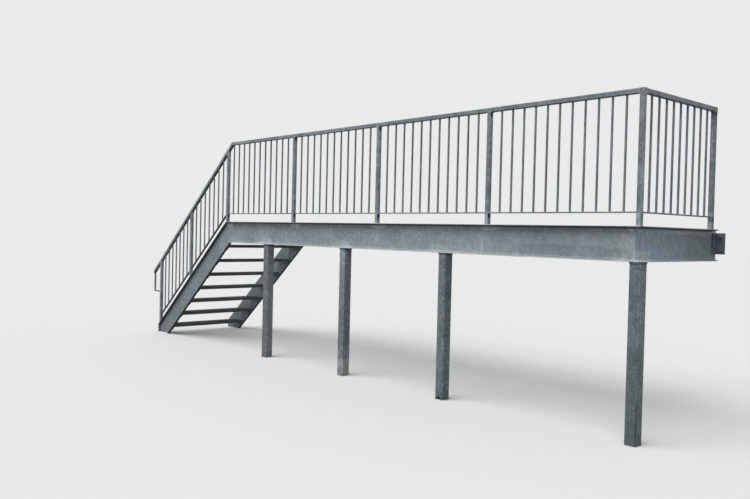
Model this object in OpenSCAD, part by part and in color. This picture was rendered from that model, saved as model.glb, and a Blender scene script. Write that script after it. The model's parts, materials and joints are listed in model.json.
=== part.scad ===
// Steel fire escape: a straight grating stair that climbs along a wall to a long platform.
// X runs along the wall, Y points into the wall, Z is up.
// The origin is on the wall, at the middle of the platform's length and at deck level.

/* [Platform] */
// Length of one guard bay, post centre to post centre
bay_len = 1375; // [1200:5:1500]
// Clear width of the deck, between the webs of the front and rear channels
clear_width = 1060; // [940:5:1160]
// Space between the rear channel's web and the wall
wall_space = 197; // [150:1:260]
// Height of the deck surface above the ground
deck_height = 1445; // [1420:1:1500]
// How far the deck lies below the top of the platform's channels
deck_drop = 100; // [70:1:110]

/* [Channels] */
// Depth of the channels that frame the platform, and of the stringers
channel_depth = 254; // [240:1:280]
// Width of its flanges
channel_flange = 66; // [60:1:80]
// Thickness of its web
channel_web = 6.1; // [5:0.1:9]
// Thickness of its flanges at the toe
channel_toe = 6.5; // [5:0.1:9]
// Thickness of its flanges at the web
channel_root = 15.5; // [10:0.1:18]
// Radius of the fillets between its web and its flanges
channel_fillet = 11; // [6:1:14]
// Length cut off the end channel's flanges beside the wall
flange_cope = 85; // [78:1:110]

/* [Stair] */
// Height of the lowest tread above the ground
first_riser = 129; // [110:1:160]
// Going of one tread
going = 229; // [220:1:240]
// Depth of one tread from front to back
tread_depth = 248; // [235:1:255]
// Position of the deck's nosing past the centre of the head post
nosing_x = 5; // [0:1:15]
// Height of the stringers' top edge above the line of the nosings
nosing_cover = 97; // [80:1:110]
// Distance from the lowest nosing to the plumb cut at the stringers' foot
foot_lead = 152; // [140:1:220]
// Width of the stringers' flanges
stringer_flange = 38; // [35:1:60]
// Thickness of the stringers' webs
stringer_web = 4.5; // [4:0.1:8]
// Thickness of the stringers' flanges at the toe
stringer_toe = 6; // [5:0.1:9]
// Thickness of the stringers' flanges at the web
stringer_root = 9; // [7:0.1:14]
// Radius of the fillets between the stringers' webs and flanges
stringer_fillet = 8; // [5:1:12]
// Thickness of the plates that close the stringers' ends
end_plate = 8; // [5:1:12]

/* [Grating] */
// Depth of the grating's bearing bars
grate_depth = 32; // [25:1:38]
// Thickness of the bearing bars
grate_bar = 5; // [4:0.5:6]
// Largest spacing of the deck's bearing bars
deck_pitch = 42; // [40:1:60]
// Largest spacing of a tread's bearing bars
tread_pitch = 31; // [28:1:41]
// Largest spacing of the cross bars
cross_pitch = 102; // [80:1:140]
// Width of a cross bar
cross_width = 6; // [5:0.5:8]
// Depth of a cross bar
cross_depth = 9; // [6:0.5:12]
// Gap between neighbouring deck panels
panel_gap = 6; // [4:1:10]
// Width of the plate along a tread's nosing
nosing_width = 32; // [25:1:40]
// Thickness of the plate along a tread's nosing
nosing_plate = 5; // [4:0.5:6]
// Height of the end plates that carry a tread
end_plate_h = 64; // [50:1:76]
// Thickness of those end plates
end_plate_t = 5; // [4:0.5:8]

/* [Deck steelwork] */
// Depth of the cross beams and the header under the deck
beam_depth = 102; // [80:1:110]
// Flange width of the cross beams and the header
beam_flange = 41; // [35:1:50]
// Web thickness of the cross beams and the header
beam_web = 5; // [4:0.5:7]
// Flange thickness of the cross beams and the header
beam_toe = 6; // [5:0.5:8]
// Leg of the angles that the deck's edges rest on
seat_leg = 38; // [32:1:50]
// Thickness of those angles
seat_t = 5; // [4:0.5:8]

/* [Support posts] */
// Width of a square support post
post_width = 89; // [76:1:102]
// Wall thickness of a support post
post_wall = 6; // [4:0.5:8]
// Side of the square cap plate on a support post
cap_side = 100; // [95:1:120]
// Thickness of the cap plate
cap_t = 8; // [6:1:12]
// Distance from each guard post back to the support post of its bay
support_offset = 465; // [400:5:600]

/* [Wall brackets] */
// Width of a wall plate
wall_plate_w = 160; // [150:1:200]
// Height of a wall plate
wall_plate_h = 172; // [160:1:180]
// Thickness of a wall plate and of the web that carries it
wall_plate_t = 10; // [8:1:12]
// Height of the wall plates' upper edge above the deck
wall_plate_top = 71; // [60:1:76]
// Spacing of the anchor holes along the wall
anchor_x = 110; // [90:1:120]
// Spacing of the anchor holes up the wall
anchor_z = 110; // [90:1:120]
// Diameter of the anchor holes
anchor_d = 18; // [12:1:22]
// Leg of the angle that holds the end channel to the wall
clip_leg = 75; // [60:1:76]
// Thickness of that angle
clip_t = 8; // [6:1:10]
// Gap between the end channel's web and the wall
web_gap = 5; // [2:1:10]

/* [Guard] */
// Height of the top rail above the deck
guard_height = 1067; // [1000:1:1100]
// Width of the square posts and rails
rail_size = 38; // [30:1:50]
// Wall thickness of the posts and rails
rail_wall = 3; // [2:0.5:5]
// Distance from the corner post's centre to the end channel's toe
side_toe = 19; // [15:1:33]
// Clear gap under the platform's bottom rails
kick_gap = 92; // [70:1:100]
// Clear gap under the stair's bottom rail, measured upright
stair_kick_gap = 106; // [80:1:120]
// Thickness of the flat bar that is the bottom rail
bottom_bar = 10; // [6:1:12]
// Width of that flat bar
bottom_bar_w = 25; // [20:1:38]
// Width of a square picket
picket = 12.7; // [10:0.1:16]
// Largest clear gap between pickets
picket_gap = 102; // [90:1:125]
// Largest clear gap between the pickets of the end guard
side_picket_gap = 94; // [85:1:125]
// Height of the stair's top rail above the line of the nosings
stair_rail_h = 1000; // [900:1:1067]
// Distance from the head post to the stair's middle post
mid_post_x = 900; // [850:1:950]
// Distance from the stringer's plumb cut back to the stair's foot post
foot_post_inset = 20; // [19:1:60]
// How far the stair's top rail runs past the foot post
rail_reach = 207; // [150:1:260]
// Length of the upright of the return at the end of that rail
return_drop = 250; // [200:1:300]
// Width of the square bar of the return
return_bar = 20; // [14:1:28]

/* [Hidden] */
SEAT = 0.3;
ARC_STEPS = 4;
TOE_ROUNDING = 0.75;
bay_count = 4;
tread_count = 7;

riser = (deck_height - first_riser) / tread_count;
slope = atan2(riser, going);
rise_per_run = riser / going;

platform_len = bay_len * bay_count;
x_head = -platform_len / 2;
x_corner = platform_len / 2;
x_end_toe = x_corner + side_toe;
x_end_back = x_end_toe - channel_flange;
x_nosing = x_head + nosing_x;
x_foot = x_nosing - tread_count * going - foot_lead;

y_rear = -wall_space;
y_front = y_rear - clear_width;
y_guard = y_front - channel_flange / 2;
y_front_toe = y_front - channel_flange;
y_near = y_front_toe + stringer_flange;
side_bay = y_rear - y_guard;

z_ground = -deck_height;
z_frame_top = deck_drop;
z_frame_bottom = z_frame_top - channel_depth;
z_deck_under = -grate_depth;

stringer_rise = channel_depth / cos(slope);
function nosing_z(x) = (x - x_nosing) * rise_per_run;
function stringer_top_z(x) = nosing_z(x) + nosing_cover;
function nosing_line_x(z) = x_nosing + z / rise_per_run;
kink_top = [nosing_line_x(z_frame_top - nosing_cover), z_frame_top];
kink_bottom = [nosing_line_x(z_frame_bottom - nosing_cover + stringer_rise), z_frame_bottom];

rail_half = rail_size / 2;
rail_rise = rail_size / cos(slope);
z_rail_top = guard_height;
z_rail_under = z_rail_top - rail_size;
x_rail_knee = nosing_line_x(z_rail_top - stair_rail_h);
knee_top = [x_rail_knee, z_rail_top];
knee_bottom = [x_rail_knee + rail_size * tan(slope / 2), z_rail_under];
x_mid_post = x_head - mid_post_x;
x_foot_post = x_foot + foot_post_inset;
x_rail_end = x_foot_post - rail_reach;
function stair_rail_top_z(x) = nosing_z(x) + stair_rail_h;
function stair_rail_under_z(x) = stair_rail_top_z(x) - rail_rise;

// Extrudes an outline drawn in X and Z between two planes of Y
module elevation(y0, y1) {
    translate([0, y1, 0])
        rotate([90, 0, 0])
            linear_extrude(height = y1 - y0)
                children();
}

// Box between two corners
module box(low, high) {
    translate(low)
        cube(high - low);
}

// Points along an arc about a centre, from one angle to another
function arc(centre, r, a0, a1) = [
    for (k = [0 : ARC_STEPS])
        let (a = a0 + (a1 - a0) * k / ARC_STEPS)
            centre + r * [cos(a), sin(a)]
];

// Rolled channel outline: its back is on X = 0, its flanges point to -X and it stands on Y = 0
module channel_outline(depth, flange, web, toe, root, fillet) {
    taper = atan2(root - toe, flange - web);
    nib = toe * TOE_ROUNDING;
    x_fillet = -web - fillet;
    y_fillet = root - fillet * tan(taper) + fillet / cos(taper);
    x_nib = -flange + nib;
    y_nib = toe + nib * tan(taper) - nib / cos(taper);
    polygon(concat(
        [[0, 0], [0, depth], [-flange, depth]],
        arc([x_nib, depth - y_nib], nib, 180, 270 - taper),
        arc([x_fillet, depth - y_fillet], fillet, 90 - taper, 0),
        arc([x_fillet, y_fillet], fillet, 0, taper - 90),
        arc([x_nib, y_nib], nib, 90 + taper, 180),
        [[-flange, 0]]
    ));
}

module channel_section() {
    channel_outline(channel_depth, channel_flange, channel_web,
                    channel_toe, channel_root, channel_fillet);
}

module stringer_section() {
    channel_outline(channel_depth, stringer_flange, stringer_web,
                    stringer_toe, stringer_root, stringer_fillet);
}

// Centred square with rounded corners
module rounded_square(size, r) {
    inset = size / 2 - r;
    polygon([for (turn = [0 : 90 : 270])
        each arc(inset * [cos(turn) - sin(turn), sin(turn) + cos(turn)], r, turn, turn + 90)]);
}

// Square tube outline: its corners are rounded to twice the wall outside and to the wall inside
module tube_outline(size, wall) {
    difference() {
        rounded_square(size, 2 * wall);
        rounded_square(size - 2 * wall, wall);
    }
}

// Extrudes a section along X from x0 to x1, with its back on Y = 0 and its flanges towards -Y
module along_x(x0, x1) {
    translate([x0, 0, 0])
        rotate([90, 0, 90])
            linear_extrude(height = x1 - x0)
                children();
}

// Square tube standing on z0, with its upper end at z1
module square_post(x, y, z0, z1, size, wall) {
    translate([x, y, z0])
        linear_extrude(height = z1 - z0)
            tube_outline(size, wall);
}

// Square tube of a rail along X from x0 to x1, closed by a plate at x0 where it ends in the open
module rail_along_x(x0, x1, closed) {
    along_x(x0, x1)
        tube_outline(rail_size, rail_wall);
    if (closed)
        along_x(x0, x0 + rail_wall)
            rounded_square(rail_size, 2 * rail_wall);
}

// The elevation on the platform's side of a mitre, whose line runs through top and bottom
module platform_side(top, bottom) {
    above = 2 * top - bottom;
    below = 2 * bottom - top;
    x_past = x_end_toe + 1;
    polygon([above, below, [x_past, below[1]], [x_past, above[1]]]);
}

// The elevation on the stair's side of a mitre, from the plumb line at x_end up from the ground
module stair_side(top, bottom, x_end) {
    above = 2 * top - bottom;
    below = 2 * bottom - top;
    polygon([above, [x_end, above[1]], [x_end, z_ground], [below[0], z_ground], below]);
}

module front_channel() {
    color("slategray")
        difference() {
            intersection() {
                translate([0, y_front, z_frame_bottom])
                    along_x(x_head - channel_depth, x_end_toe)
                        channel_section();
                elevation(y_front_toe - 1, y_front + 1)
                    platform_side(kink_top, kink_bottom);
            }
            translate([x_end_toe, y_front_toe, z_frame_bottom - 1])
                rotate([0, 0, 45])
                    box([0, -channel_flange, 0],
                        [channel_flange * 2, channel_flange * 2, channel_depth + 2]);
        }
}

module end_channel() {
    y_end = -web_gap;
    color("slategray")
        difference() {
            translate([x_end_back, y_front_toe, z_frame_bottom])
                rotate([0, 0, 180])
                    rotate([90, 0, 0])
                        linear_extrude(height = y_end - y_front_toe)
                            channel_section();
            translate([x_end_toe, y_front_toe, z_frame_bottom - 1])
                rotate([0, 0, 45])
                    box([-channel_flange * 2, -channel_flange, 0],
                        [0, channel_flange * 2, channel_depth + 2]);
            box([x_end_back + channel_web, -flange_cope, z_frame_bottom - 1],
                [x_end_toe + 1, 1, z_frame_top + 1]);
        }
}

module rear_channel() {
    color("slategray")
        intersection() {
            translate([0, y_rear, z_frame_bottom])
                mirror([0, 1, 0])
                    along_x(x_head - channel_depth, x_end_back - SEAT)
                        channel_section();
            elevation(y_rear - 1, y_rear + channel_flange + 1)
                platform_side(kink_top, kink_bottom);
        }
}

module beam_along_y(x) {
    translate([x, y_front + SEAT, z_deck_under - beam_depth])
        mirror([1, 0, 0])
            translate([0, clear_width - 2 * SEAT, 0])
                rotate([90, 0, 0])
                    linear_extrude(height = clear_width - 2 * SEAT)
                        channel_outline(beam_depth, beam_flange, beam_web, beam_toe, beam_toe, beam_toe);
}

module header_channel() {
    color("slategray")
        beam_along_y(x_nosing);
}

module cross_beams() {
    color("slategray")
        for (i = [1 : bay_count - 1])
            beam_along_y(x_head + i * bay_len - beam_flange / 2);
}

// Where each deck panel starts and ends, before its gaps
function panel_start(i) = i == 0 ? x_nosing : x_head + i * bay_len;
function panel_end(i) = i == bay_count - 1 ? x_end_back : x_head + (i + 1) * bay_len;

// Angle with one leg up to the deck and one leg down the web, seen along X
module seat_outline() {
    polygon([
        [0, 0], [0, -seat_leg], [seat_t, -seat_leg], [seat_t, -seat_t], [seat_leg, -seat_t], [seat_leg, 0]
    ]);
}

module seat_angles() {
    color("slategray") {
        for (i = [0 : bay_count - 1]) {
            x0 = i == 0
                ? x_nosing + beam_flange + panel_gap
                : panel_start(i) + beam_flange / 2 + panel_gap;
            x1 = i == bay_count - 1
                ? x_end_back - seat_leg - panel_gap
                : panel_end(i) - beam_flange / 2 - panel_gap;
            translate([x0, y_front + SEAT, z_deck_under])
                rotate([90, 0, 90])
                    linear_extrude(height = x1 - x0)
                        seat_outline();
            translate([x0, y_rear - SEAT, z_deck_under])
                mirror([0, 1, 0])
                    rotate([90, 0, 90])
                        linear_extrude(height = x1 - x0)
                            seat_outline();
        }
        translate([x_end_back - SEAT, y_rear - panel_gap, z_deck_under])
            mirror([1, 0, 0])
                rotate([90, 0, 0])
                    linear_extrude(height = clear_width - 2 * panel_gap)
                        seat_outline();
    }
}

// Bars along Y, from y0 to y1, evenly spaced between x0 and x1, crossed by smaller bars along X
module grating(x0, x1, y0, y1, top, pitch) {
    bars = ceil((x1 - x0 - grate_bar) / pitch);
    step = (x1 - x0 - grate_bar) / bars;
    crossings = ceil((y1 - y0 - cross_width) / cross_pitch);
    cross_step = (y1 - y0 - cross_width) / crossings;
    union() {
        for (i = [0 : bars])
            box([x0 + i * step, y0, top - grate_depth],
                [x0 + i * step + grate_bar, y1, top]);
        for (j = [0 : crossings])
            box([x0, y0 + j * cross_step, top - cross_depth],
                [x1, y0 + j * cross_step + cross_width, top]);
    }
}

module deck_panel(i) {
    color("lightslategray")
        grating(panel_start(i) + (i == 0 ? 0 : panel_gap / 2), panel_end(i) - panel_gap / 2,
                y_front + panel_gap, y_rear - panel_gap, 0, deck_pitch);
}

// Stringer with its back on Y = 0 and its flanges towards -Y, closed by a plate at its foot;
// where its web stands in front of the platform channel's, a strip at its head closes that step
module stringer(step) {
    reach = (kink_bottom[0] - x_foot) / cos(slope) + channel_depth;
    intersection() {
        union() {
            translate([kink_bottom[0], 0, kink_bottom[1]])
                rotate([0, -slope, 0])
                    along_x(-reach, channel_depth)
                        stringer_section();
            elevation(stringer_web - stringer_flange, 0)
                foot_outline();
            if (step > 0)
                elevation(-stringer_web / 2, step)
                    joint_outline();
        }
        elevation(-stringer_flange - 1, step + 1)
            stair_side(kink_top, kink_bottom, x_foot);
    }
}

// Outline, in elevation, of the plate that closes a stringer's foot
module foot_outline() {
    x_plate = x_foot + end_plate;
    polygon([
        [x_foot, z_ground], [x_foot, stringer_top_z(x_foot)],
        [x_plate, stringer_top_z(x_plate)], [x_plate, z_ground]
    ]);
}

// Outline, in elevation, of a strip along the stringers' upper mitre, just inside their edges
module joint_outline() {
    run = end_plate * [1, rise_per_run];
    inset = (kink_top - kink_bottom) * stringer_toe / channel_depth / 2;
    top = kink_top - inset;
    bottom = kink_bottom + inset;
    polygon([top + run, bottom + run, bottom - run, top - run]);
}

module near_stringer() {
    color("slategray")
        translate([0, y_near, 0])
            stringer(y_front - y_near);
}

module far_stringer() {
    color("slategray")
        translate([0, y_rear, 0])
            mirror([0, 1, 0])
                stringer(0);
}

// End plate of a tread, seen along Y: its lower back corner follows the stringer's edge
module end_plate_outline() {
    polygon([
        [0, 0], [tread_depth, 0], [tread_depth, -grate_depth],
        [tread_depth - (end_plate_h - grate_depth) / rise_per_run, -end_plate_h], [0, -end_plate_h]
    ]);
}

// Tread number i below the deck
module tread(i) {
    x0 = x_nosing - i * going;
    top = -i * riser;
    y0 = y_near + SEAT;
    y1 = y_rear - SEAT;
    color("dimgray")
        union() {
            grating(x0, x0 + tread_depth, y0 + end_plate_t, y1 - end_plate_t, top, tread_pitch);
            box([x0, y0, top - nosing_plate], [x0 + nosing_width, y1, top]);
            translate([x0, 0, top]) {
                elevation(y0, y0 + end_plate_t)
                    end_plate_outline();
                elevation(y1 - end_plate_t, y1)
                    end_plate_outline();
            }
        }
}

module support_post(x) {
    color("slategray") {
        square_post(x, y_guard, z_ground, z_frame_bottom - cap_t, post_width, post_wall);
        box([x - cap_side / 2, y_guard - cap_side / 2, z_frame_bottom - cap_t],
            [x + cap_side / 2, y_guard + cap_side / 2, z_frame_bottom]);
    }
}

module anchor_hole(x, z, depth) {
    translate([x, 1, z])
        rotate([90, 0, 0])
            cylinder(d = anchor_d, h = depth + 2, $fn = 48);
}

// Plate on the wall, with a web that reaches the rear channel and a tab against it
module wall_bracket(x) {
    z1 = wall_plate_top;
    z0 = z1 - wall_plate_h;
    z_mid = (z0 + z1) / 2;
    y_tab = y_rear + channel_web + SEAT;
    difference() {
        union() {
            box([x - wall_plate_w / 2, -wall_plate_t, z0], [x + wall_plate_w / 2, 0, z1]);
            box([x - wall_plate_t / 2, y_tab, z0], [x + wall_plate_t / 2, 0, z1]);
            box([x - wall_plate_w / 2, y_tab, z0], [x + wall_plate_w / 2, y_tab + wall_plate_t, z1]);
        }
        for (sx = [-1, 1])
            for (sz = [-1, 1])
                anchor_hole(x + sx * anchor_x / 2, z_mid + sz * anchor_z / 2, wall_plate_t);
    }
}

module wall_brackets() {
    color("gray")
        for (i = [1 : bay_count - 1])
            wall_bracket(x_head + i * bay_len);
}

module end_clip() {
    x0 = x_end_back + channel_web + SEAT;
    z1 = wall_plate_top;
    z0 = z1 - wall_plate_h;
    color("gray")
        difference() {
            union() {
                box([x0, -clip_leg, z0], [x0 + clip_t, 0, z1]);
                box([x0, -clip_t, z0], [x0 + clip_leg, 0, z1]);
            }
            for (sz = [-1, 1])
                anchor_hole(x0 + (clip_leg + clip_t) / 2, (z0 + z1) / 2 + sz * anchor_z / 2, clip_t);
        }
}

module guard_post(x, y, top) {
    square_post(x, y, z_frame_top, top, rail_size, rail_wall);
}

// The steel that the guard stands on, in elevation
module steel_below() {
    polygon([
        [x_foot, z_ground], [x_foot, stringer_top_z(x_foot)], kink_top,
        [x_corner, z_frame_top], [x_corner, z_ground]
    ]);
}

// Everything above the underside of the sloping rail, in elevation
module rail_and_above() {
    z_clear = z_rail_top + rail_size;
    polygon([
        [x_foot, stair_rail_under_z(x_foot)], [x_rail_knee, stair_rail_under_z(x_rail_knee)],
        [x_rail_knee, z_clear], [x_foot, z_clear]
    ]);
}

// Post under the sloping rail: its ends follow the steel below it and the rail above it
module cut_post(x) {
    difference() {
        square_post(x, y_guard, stringer_top_z(x - rail_size), z_rail_top, rail_size, rail_wall);
        elevation(y_guard - rail_size, y_guard + rail_size)
            steel_below();
        elevation(y_guard - rail_size, y_guard + rail_size)
            rail_and_above();
    }
}

module guard_posts() {
    color("slategray") {
        cut_post(x_head);
        for (i = [1 : bay_count - 1])
            guard_post(x_head + i * bay_len, y_guard, z_rail_under);
        guard_post(x_corner, y_guard, z_rail_top);
        translate([x_corner, y_guard, z_rail_top - rail_wall])
            linear_extrude(height = rail_wall)
                rounded_square(rail_size, 2 * rail_wall);
        guard_post(x_corner, y_rear, z_rail_under);
    }
}

module stair_posts() {
    color("slategray") {
        cut_post(x_mid_post);
        cut_post(x_foot_post);
    }
}

// Outline, in elevation, of a rail on the stair's slope between x0 and x1
module slope_band(x0, x1, top, rise) {
    polygon([
        [x0, nosing_z(x0) + top], [x1, nosing_z(x1) + top],
        [x1, nosing_z(x1) + top - rise], [x0, nosing_z(x0) + top - rise]
    ]);
}

module front_rail() {
    color("slategray")
        intersection() {
            translate([0, y_guard, z_rail_top - rail_half])
                rail_along_x(x_rail_knee, x_corner - rail_half, false);
            elevation(y_guard - rail_size, y_guard + rail_size)
                platform_side(knee_top, knee_bottom);
        }
}

module side_rail() {
    y_end = y_rear + rail_half;
    color("slategray")
        translate([x_corner, y_end, z_rail_top - rail_half])
            rotate([0, 0, -90])
                rail_along_x(0, y_end - y_guard - rail_half, true);
}

module stair_rail() {
    reach = (x_rail_knee - x_rail_end) / cos(slope) + rail_size;
    color("slategray")
        intersection() {
            union() {
                translate([x_rail_knee, y_guard, z_rail_top])
                    rotate([0, -slope, 0])
                        translate([0, 0, -rail_half])
                            rail_along_x(-reach, rail_size, false);
                elevation(y_guard - rail_half, y_guard + rail_half)
                    slope_band(x_rail_end, x_rail_end + rail_wall, stair_rail_h, rail_rise);
            }
            elevation(y_guard - rail_size, y_guard + rail_size)
                stair_side(knee_top, knee_bottom, x_rail_end);
        }
}

module rail_return() {
    x0 = x_rail_end;
    x1 = x_foot_post - rail_half - SEAT;
    z1 = stair_rail_under_z(x0);
    z0 = z1 - return_drop;
    y0 = y_guard - return_bar / 2;
    y1 = y_guard + return_bar / 2;
    color("slategray")
        elevation(y0, y1)
            polygon([
                [x0, z1], [x0, z0], [x1, z0], [x1, z0 + return_bar],
                [x0 + return_bar, z0 + return_bar], [x0 + return_bar, stair_rail_under_z(x0 + return_bar)]
            ]);
}

// Number of pickets that keep every clear gap of a bay under the limit
function picket_count(clear, gap) = ceil((clear - gap) / (gap + picket));
// Place of picket k from the start of a bay
function picket_start(clear, count, k) = k * (clear - count * picket) / (count + 1) + (k - 1) * picket;

// Flat bar with upright pickets: x0 is the bay's start and its posts' centres are one bay apart
module straight_infill(clear, gap) {
    z0 = z_frame_top + kick_gap;
    count = picket_count(clear, gap);
    union() {
        box([0, -bottom_bar_w / 2, z0], [clear, bottom_bar_w / 2, z0 + bottom_bar]);
        for (k = [1 : count]) {
            x = picket_start(clear, count, k);
            box([x, -picket / 2, z0], [x + picket, picket / 2, z_rail_under]);
        }
    }
}

module front_infill(i) {
    color("slategray")
        translate([x_head + i * bay_len + rail_half, y_guard, 0])
            straight_infill(bay_len - rail_size, picket_gap);
}

module side_infill() {
    color("slategray")
        translate([x_corner, y_guard + rail_half, 0])
            rotate([0, 0, 90])
                straight_infill(side_bay - rail_size, side_picket_gap);
}

// The same on the slope, between the post at x0 and the post at x1
module sloped_infill(x0, x1) {
    start = x0 + rail_half;
    clear = x1 - x0 - rail_size;
    count = picket_count(clear, picket_gap);
    bar_rise = bottom_bar / cos(slope);
    bar_top = nosing_cover + stair_kick_gap + bar_rise;
    color("slategray")
        union() {
            elevation(y_guard - bottom_bar_w / 2, y_guard + bottom_bar_w / 2)
                slope_band(start, start + clear, bar_top, bar_rise);
            for (k = [1 : count]) {
                x = start + picket_start(clear, count, k);
                elevation(y_guard - picket / 2, y_guard + picket / 2)
                    slope_band(x, x + picket, stair_rail_h - rail_rise,
                               stair_rail_h - rail_rise - bar_top + bar_rise / 2);
            }
        }
}

front_channel();
end_channel();
rear_channel();
header_channel();
cross_beams();
seat_angles();
deck_panel(0);  // deck_panel_1
deck_panel(1);  // deck_panel_2
deck_panel(2);  // deck_panel_3
deck_panel(3);  // deck_panel_4
near_stringer();
far_stringer();
tread(1);  // tread_1
tread(2);  // tread_2
tread(3);  // tread_3
tread(4);  // tread_4
tread(5);  // tread_5
tread(6);  // tread_6
tread(7);  // tread_7
support_post(x_head + bay_len - support_offset);  // support_post_1
support_post(x_head + 2 * bay_len - support_offset);  // support_post_2
support_post(x_head + 3 * bay_len - support_offset);  // support_post_3
support_post(x_corner);  // support_post_4
wall_brackets();
end_clip();
guard_posts();
stair_posts();
front_rail();
side_rail();
stair_rail();
rail_return();
front_infill(0);  // front_infill_1
front_infill(1);  // front_infill_2
front_infill(2);  // front_infill_3
front_infill(3);  // front_infill_4
side_infill();
sloped_infill(x_mid_post, x_head);  // stair_infill_upper
sloped_infill(x_foot_post, x_mid_post);  // stair_infill_lower
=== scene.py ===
"""Galvanised steel fire escape: the CAD frame with its finish, fittings, camera and studio light.

Metres, in the frame of the CAD model: +X along the wall, +Y into the wall, +Z up, deck at Z = 0.
"""

import json
import math
import random

import bmesh
import bpy
from mathutils import Matrix, Vector


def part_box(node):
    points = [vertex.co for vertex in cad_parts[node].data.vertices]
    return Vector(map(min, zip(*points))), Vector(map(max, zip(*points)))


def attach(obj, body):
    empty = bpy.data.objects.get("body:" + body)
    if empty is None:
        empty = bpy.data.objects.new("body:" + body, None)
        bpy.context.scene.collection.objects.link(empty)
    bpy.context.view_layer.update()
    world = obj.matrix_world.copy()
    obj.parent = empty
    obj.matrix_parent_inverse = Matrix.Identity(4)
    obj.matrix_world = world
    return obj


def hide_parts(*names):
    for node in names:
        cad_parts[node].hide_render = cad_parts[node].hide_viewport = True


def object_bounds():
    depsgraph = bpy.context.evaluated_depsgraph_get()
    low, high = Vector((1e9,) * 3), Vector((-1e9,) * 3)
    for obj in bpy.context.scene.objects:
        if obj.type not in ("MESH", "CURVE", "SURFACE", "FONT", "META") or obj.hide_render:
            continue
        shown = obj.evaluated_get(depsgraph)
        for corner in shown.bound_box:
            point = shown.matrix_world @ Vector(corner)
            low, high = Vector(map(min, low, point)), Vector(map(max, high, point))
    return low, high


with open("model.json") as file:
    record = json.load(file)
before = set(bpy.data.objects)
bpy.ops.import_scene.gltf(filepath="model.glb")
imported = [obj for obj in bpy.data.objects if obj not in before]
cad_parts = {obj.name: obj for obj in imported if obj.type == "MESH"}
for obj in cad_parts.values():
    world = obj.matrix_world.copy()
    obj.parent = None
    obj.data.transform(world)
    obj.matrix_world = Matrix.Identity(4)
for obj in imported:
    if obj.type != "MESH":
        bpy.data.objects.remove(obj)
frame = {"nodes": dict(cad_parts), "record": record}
cad_low, cad_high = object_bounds()
nodes = frame["nodes"]
scene = bpy.context.scene
dice = random.Random(11)

BODY = "root"

X, Y, Z = 0, 1, 2

# Camera, solved from the photograph
CAMERA_PLACE = (5.5557, -6.2847, 0.0122)
CAMERA_YAW = math.radians(48.154)
CAMERA_PITCH = math.radians(-1.273)
CAMERA_ROLL = math.radians(-1.359)
CAMERA_LENS = 37.10
SENSOR_WIDTH = 36.0

# Light
WORLD_LIGHT = 0.45
WORLD_TINT = (0.94, 0.97, 1.0, 1.0)
SUN_POWER = 2.3
SUN_TINT = (1.0, 0.99, 0.97)
SUN_SPREAD = math.radians(55)
SUN_FROM = (-0.04, -0.62, 1.0)

# Studio
FLOOR_SEEN = (0.78, 0.78, 0.775, 1.0)
FLOOR_BOUNCE = (0.08, 0.08, 0.08, 1.0)
FLOOR_REACH = 60.0
FLOOR_ROUGH = 0.9
FLOOR_GLOSS = 0.1
BACKGROUND = (0.82, 0.825, 0.82, 1.0)

# Zinc that stains the finishes, colours that paint light and shade, and how much of them some places have
PALE_ZINC_AND_LIGHT = (0.48, 0.51, 0.525, 1.0)
DAMP_ZINC_AND_SHADE = (0.105, 0.135, 0.14, 1.0)
DIPPED_ZINC = (0.165, 0.205, 0.205, 1.0)
COLD_ZINC = (0.092, 0.118, 0.150, 1.0)
SPATTER_AND_HIGHLIGHT = (0.66, 0.68, 0.68, 1.0)
PAINTED_SHADE_BLACK = (0.030, 0.034, 0.038, 1.0)
SKYLIGHT_BLUE = (0.33, 0.42, 0.52, 1.0)
STRINGER_SHADE = 0.46
FAR_SHADE = 0.30
UNDERSIDE_SHADE = 0.85

# Zones of stains and of painted light: an axis, where the mark starts and where it has its full strength
FRONT = (Y, -1.20, -1.27)
LAST_BAY = (X, 2.25, 2.60)
CORNER_POST = (X, 2.5, 2.6)
END_WEB = (X, 2.69, 2.70)

# Surface detail; scales are in cycles a metre
CLOUD_SCALE = 2.6
MOTTLE_SCALE = 22.0
GRAIN_SCALE = 420.0
RUN_SCALE = (46.0, 46.0, 1.6)
FEATHER_SCALE = (88.0, 88.0, 26.0)
SPECKLE_SCALE = (130.0, 130.0, 60.0)
STAIN_GRAIN = 26.0
GRIME_GRAIN = 9.0
EDGE_RADIUS = 0.003
EDGES_PALER = 0.22
FEATHERS_PALER = 0.42
FLECKS_PALER = 0.60
SPECULAR = 0.30
BUMP_STRENGTH = 0.22
BUMP_HEIGHT = 0.0015

# Sizes that the frame doesn't tell by a node's box
BAYS = 4
TREADS = 7
STRINGER_COVER = 0.097
STRINGER_FLANGE = 0.038
STRINGER_WEB = 0.0045
STAIR_RAIL_HEIGHT = 1.000
STAIR_GAP = 0.106
BOTTOM_BAR = 0.010
CHANNEL_WEB = 0.0061
FLANGE_TOE = 0.0065
FLANGE_ROOT = 0.0155
FILLER_LENGTH = 0.120
FILLER_LAP = 0.004
PICKET = 0.0127
SIDE_PICKETS = 9
TOUCHING = 0.002
GRATE_DEPTH = 0.032

# Support posts
POST_WIDTH = 0.089
POST_WALL = 0.0048
POST_CORNER = 0.009
CAP_THICK = 0.008
CAP_PROUD = 0.0012
DRAINED_POST = 3
DRAIN_WIDTH = 0.066
DRAIN_RISE = 0.025
DRAIN_STEPS = 12
DIP_LINE = -0.78
CAP_SHADE = 0.024

# Grating; a tooth's flat and valley are shares of its pitch
BAR_PITCH = 0.030
BAR_THICK = 0.0045
TOOTH_PITCH = 0.016
TOOTH_DEPTH = 0.0016
TOOTH_FLAT = 0.55
TOOTH_VALLEY = 0.78
ROD_PITCH = 0.100
ROD_WIDTH = 0.006
ROD_TWIST = 0.060
ROD_STEPS = 8
ROD_INSET = 0.001
BAND_THICK = 0.005

# Treads
NOSING_WIDTH = 0.032
NOSING_THICK = 0.005
END_PLATE = 0.005
STUD_PITCH = 0.026
STUD_ROWS = (0.022, 0.011)
STUD_MARGIN = 0.050

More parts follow.
